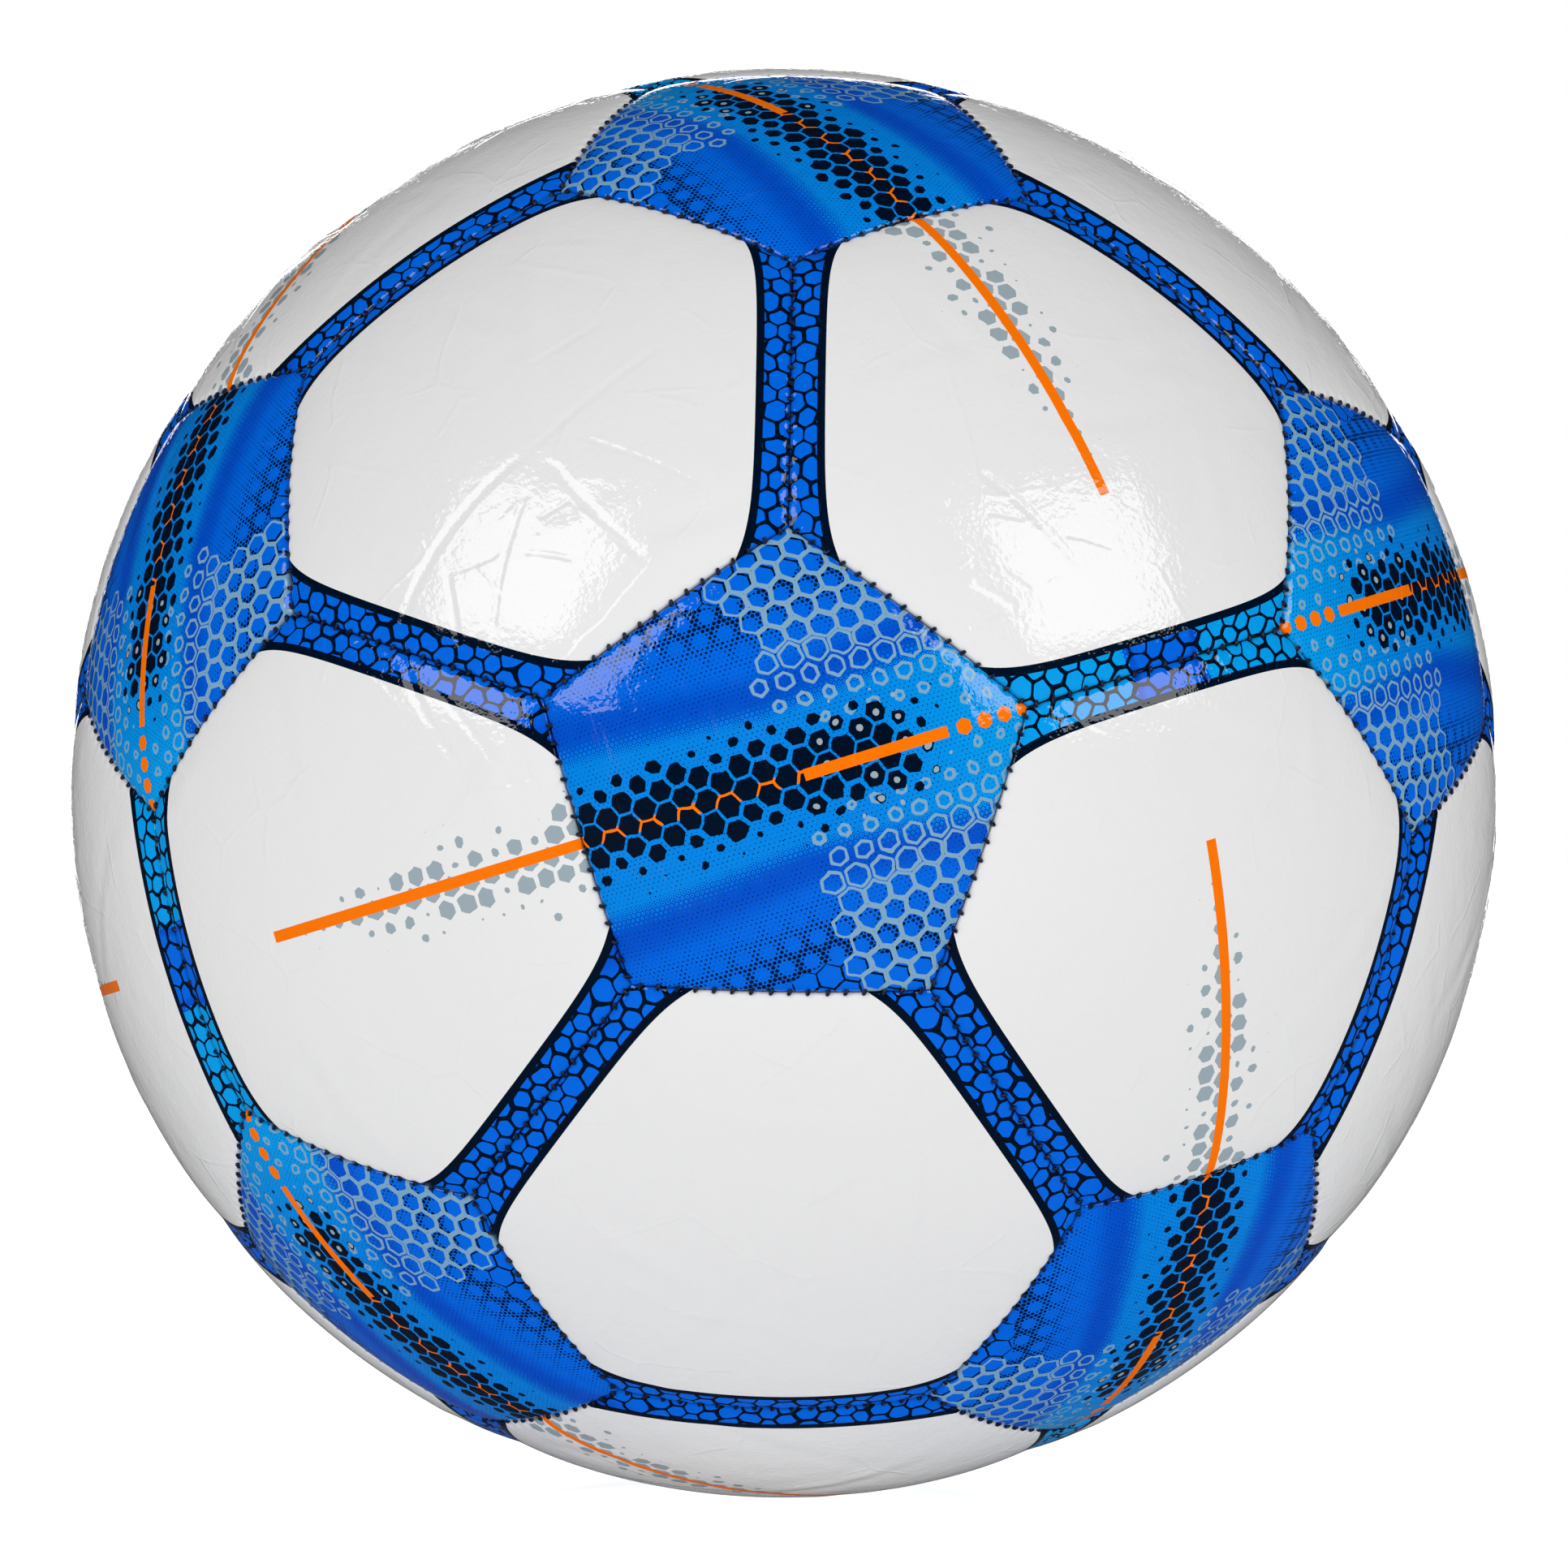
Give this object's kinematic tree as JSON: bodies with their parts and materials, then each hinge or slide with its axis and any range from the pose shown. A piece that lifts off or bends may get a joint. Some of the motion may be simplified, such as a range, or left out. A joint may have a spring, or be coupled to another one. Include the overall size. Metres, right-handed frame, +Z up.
{
  "type": "soccer ball",
  "caption": "Inflated ball with a stitched cover of pentagon and hexagon panels over a rubber bladder with a needle valve.",
  "frame": {"origin": "centre of the ball", "axes": "+Z up, -Y through the centre of the front pentagon panel, one corner of that panel points up"},
  "size_m": [0.2178, 0.2196, 0.2194],
  "materials": {
    "cover_blue": "glossy printed polyurethane skin",
    "cover_white": "glossy printed polyurethane skin",
    "thread": "waxed polyester thread",
    "bladder_rubber": "satin butyl rubber",
    "patch_cloth": "woven cotton",
    "valve_rubber": "moulded rubber",
    "core_rubber": "soft natural rubber"
  },
  "bodies": {
    "root": {"panel_pentagon_01": "cover_blue", "panel_pentagon_02": "cover_blue", "panel_pentagon_03": "cover_blue", "panel_pentagon_04": "cover_blue", "panel_pentagon_05": "cover_blue", "panel_pentagon_06": "cover_blue", "panel_pentagon_07": "cover_blue", "panel_pentagon_08": "cover_blue", "panel_pentagon_09": "cover_blue", "panel_pentagon_10": "cover_blue", "panel_pentagon_11": "cover_blue", "panel_pentagon_12": "cover_blue", "panel_hexagon_01": "cover_white", "panel_hexagon_02": "cover_white", "panel_hexagon_03": "cover_white", "panel_hexagon_04": "cover_white", "panel_hexagon_05": "cover_white", "panel_hexagon_06": "cover_white", "panel_hexagon_07": "cover_white", "panel_hexagon_08": "cover_white", "panel_hexagon_09": "cover_white", "panel_hexagon_10": "cover_white", "panel_hexagon_11": "cover_white", "panel_hexagon_12": "cover_white", "panel_hexagon_13": "cover_white", "panel_hexagon_14": "cover_white", "panel_hexagon_15": "cover_white", "panel_hexagon_16": "cover_white", "panel_hexagon_17": "cover_white", "panel_hexagon_18": "cover_white", "panel_hexagon_19": "cover_white", "panel_hexagon_valve": "cover_white", "seam_thread": "thread", "bladder": "bladder_rubber", "valve_patch": "patch_cloth", "valve_body": "valve_rubber", "valve_core": "core_rubber"}
  },
  "joints": []
}
